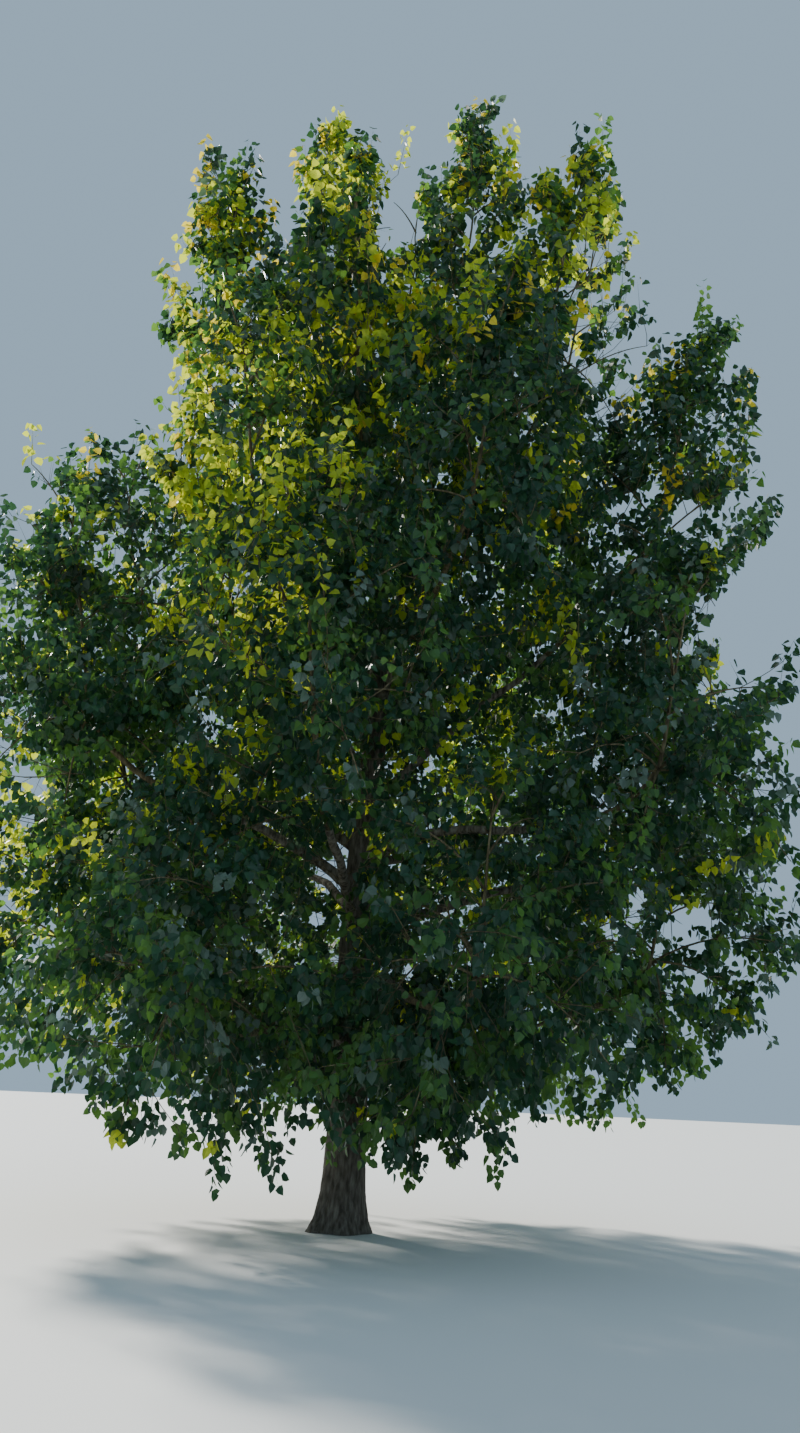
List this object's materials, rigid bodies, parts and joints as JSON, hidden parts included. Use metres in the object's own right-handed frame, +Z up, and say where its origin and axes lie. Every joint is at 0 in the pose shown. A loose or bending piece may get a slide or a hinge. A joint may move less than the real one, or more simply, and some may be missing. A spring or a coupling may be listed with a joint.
{
  "type": "poplar tree",
  "caption": "Broad, open-grown poplar tree with a tapering trunk, rising boughs and upright masses of heart-shaped leaves; stands rooted on level ground as a shade or boundary tree.",
  "frame": {"origin": "centre of the flat cut under the trunk at ground level", "axes": "+Z up the trunk, +X to the right and +Y away from the side that the picture faces"},
  "size_m": [11.4512, 10.7863, 18.0497],
  "materials": {
    "bark": "dull grey-brown bark, furrowed low on the trunk and smoother above",
    "leaf": "satin leaves, dark to mid green, yellow-green and golden towards the tops, paler grey-green beneath"
  },
  "bodies": {
    "root": {"trunk": "bark", "bough_low_1": "bark", "bough_low_2": "bark", "bough_low_3": "bark", "bough_low_4": "bark", "bough_low_5": "bark", "bough_low_6": "bark", "bough_low_7": "bark", "bough_mid_1": "bark", "bough_mid_2": "bark", "bough_mid_3": "bark", "bough_mid_4": "bark", "bough_mid_5": "bark", "bough_mid_6": "bark", "bough_mid_7": "bark", "bough_high_1": "bark", "bough_high_2": "bark", "bough_high_3": "bark", "bough_high_4": "bark", "bough_high_5": "bark", "bough_high_6": "bark", "bough_high_7": "bark", "bough_upper_1": "bark", "bough_upper_2": "bark", "bough_upper_3": "bark", "bough_upper_4": "bark", "bough_upper_5": "bark", "bough_upper_6": "bark", "bough_crest_1": "bark", "foliage_low_1": "leaf", "foliage_low_2": "leaf", "foliage_low_3": "leaf", "foliage_low_4": "leaf", "foliage_low_5": "leaf", "foliage_low_6": "leaf", "foliage_low_7": "leaf", "foliage_mid_1": "leaf", "foliage_mid_2": "leaf", "foliage_mid_3": "leaf", "foliage_mid_4": "leaf", "foliage_mid_5": "leaf", "foliage_mid_6": "leaf", "foliage_mid_7": "leaf", "foliage_high_1": "leaf", "foliage_high_2": "leaf", "foliage_high_3": "leaf", "foliage_high_4": "leaf", "foliage_high_5": "leaf", "foliage_high_6": "leaf", "foliage_high_7": "leaf", "foliage_upper_1": "leaf", "foliage_upper_2": "leaf", "foliage_upper_3": "leaf", "foliage_upper_4": "leaf", "foliage_upper_5": "leaf", "foliage_upper_6": "leaf", "foliage_crest_1": "leaf", "foliage_crest_2": "leaf", "foliage_crest_3": "leaf", "foliage_spray_1": "leaf"}
  },
  "joints": []
}
